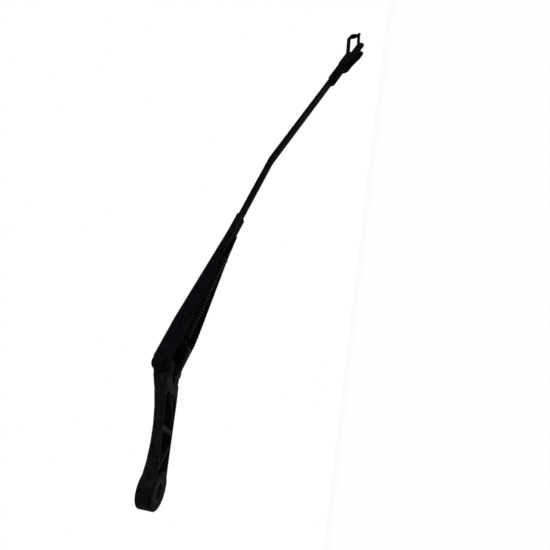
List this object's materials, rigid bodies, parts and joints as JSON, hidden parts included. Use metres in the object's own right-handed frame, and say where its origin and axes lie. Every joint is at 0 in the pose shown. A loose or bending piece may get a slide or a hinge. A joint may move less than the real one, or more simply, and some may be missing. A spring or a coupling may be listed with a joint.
{
  "type": "wiper arm",
  "caption": "Folding wiper arm with a cast spindle head, a tapering pressed channel over a coil spring, a bent flat rod and a forked tip with a hooked blade latch.",
  "frame": {"origin": "centre of the spindle seat on the underside of the boss", "axes": "+Z along the spindle axis, away from the glass; +X from the spindle towards the blade; the arm is folded down on the glass at rest"},
  "size_m": [0.5439, 0.0312, 0.121],
  "materials": {
    "cast": "satin black paint on a die casting",
    "sheet": "satin black paint",
    "pins": "black coated steel",
    "steel": "plain turned steel",
    "spring": "black coated spring steel",
    "washers": "matte",
    "moulding": "fine matte grain"
  },
  "bodies": {
    "head": {"mounting_head": "cast", "spindle_insert": "steel", "bush_near": "steel", "bush_far": "steel", "anchor_pin": "steel"},
    "link": {"spring_link": "spring"},
    "spring": {"tension_spring": "spring"},
    "arm": {"arm_channel": "sheet", "hinge_pin": "pins", "washer_near": "washers", "washer_far": "washers", "arm_rod": "sheet", "spring_pin": "pins", "tip_sleeve": "moulding", "blade_fork": "sheet", "rivet_rear": "pins", "rivet_front": "pins", "blade_pin": "pins", "latch_pin": "pins"},
    "latch": {"blade_latch": "moulding"}
  },
  "joints": [
    {"name": "arm_fold", "type": "hinge", "parent": "head", "child": "arm", "pos_m": [0.084, 0, 0.022], "axis": [0, -1, 0], "range_deg": [0, 65], "deforming": ["tension_spring"]},
    {"name": "link_swing", "type": "hinge", "parent": "head", "child": "link", "pos_m": [0.07846, 0, 0.01971], "axis": [0, -1, 0], "range_deg": [0, 61.8]},
    {"name": "spring_swing", "type": "hinge", "parent": "arm", "child": "spring", "pos_m": [0.19157, 0, 0.00415], "axis": [0, -1, 0], "range_deg": [-3.25, 0]},
    {"name": "latch_turn", "type": "hinge", "parent": "arm", "child": "latch", "pos_m": [0.47922, 0, -0.07365], "axis": [0, -1, 0], "range_deg": [-22, 45]}
  ],
  "couplings": [
    {"joint": "link_swing", "follows": "arm_fold", "ratio": 0.95},
    {"joint": "spring_swing", "follows": "arm_fold", "ratio": -0.05}
  ]
}
